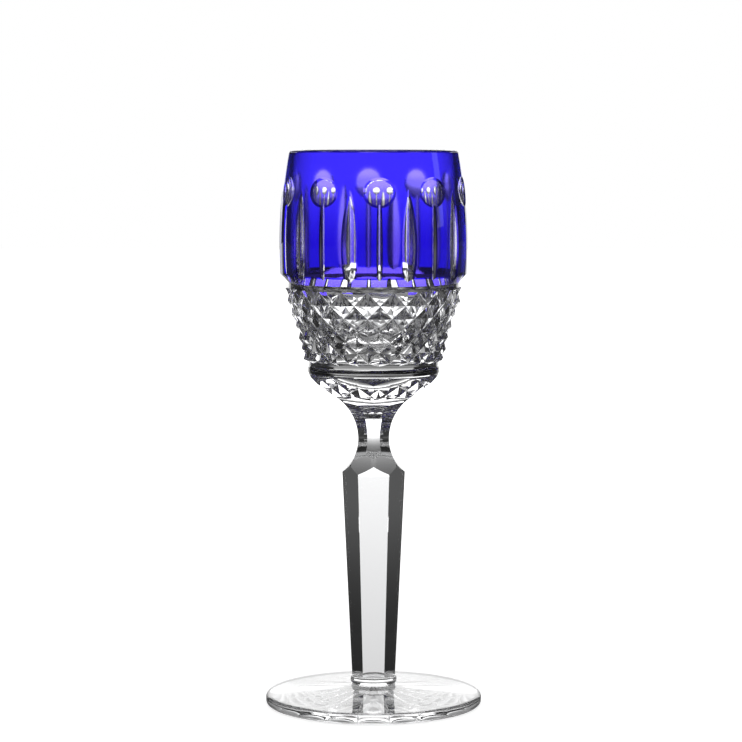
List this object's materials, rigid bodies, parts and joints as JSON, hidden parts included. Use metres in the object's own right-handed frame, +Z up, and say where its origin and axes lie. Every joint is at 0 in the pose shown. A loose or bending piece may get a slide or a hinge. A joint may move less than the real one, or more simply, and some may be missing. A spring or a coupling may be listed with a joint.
{
  "type": "cordial glass",
  "caption": "Footed cordial glass: a barrel-shaped bowl with a cobalt overlay cut through to clear crystal, a band of cut diamonds, and a faceted tapering stem.",
  "frame": {"origin": "centre of the foot's underside, on the surface that the glass stands on", "axes": "+Z up along the stem and out of the bowl's mouth; -Y towards the viewer of the pictured side, square to one side of the stem; +X to that viewer's right"},
  "size_m": [0.0624, 0.0624, 0.16],
  "materials": {
    "cobalt_crystal": "polished cobalt blue glass",
    "clear_crystal": "polished clear crystal"
  },
  "bodies": {
    "root": {"overlay": "cobalt_crystal", "bowl": "clear_crystal", "stem": "clear_crystal", "foot": "clear_crystal"}
  },
  "joints": []
}
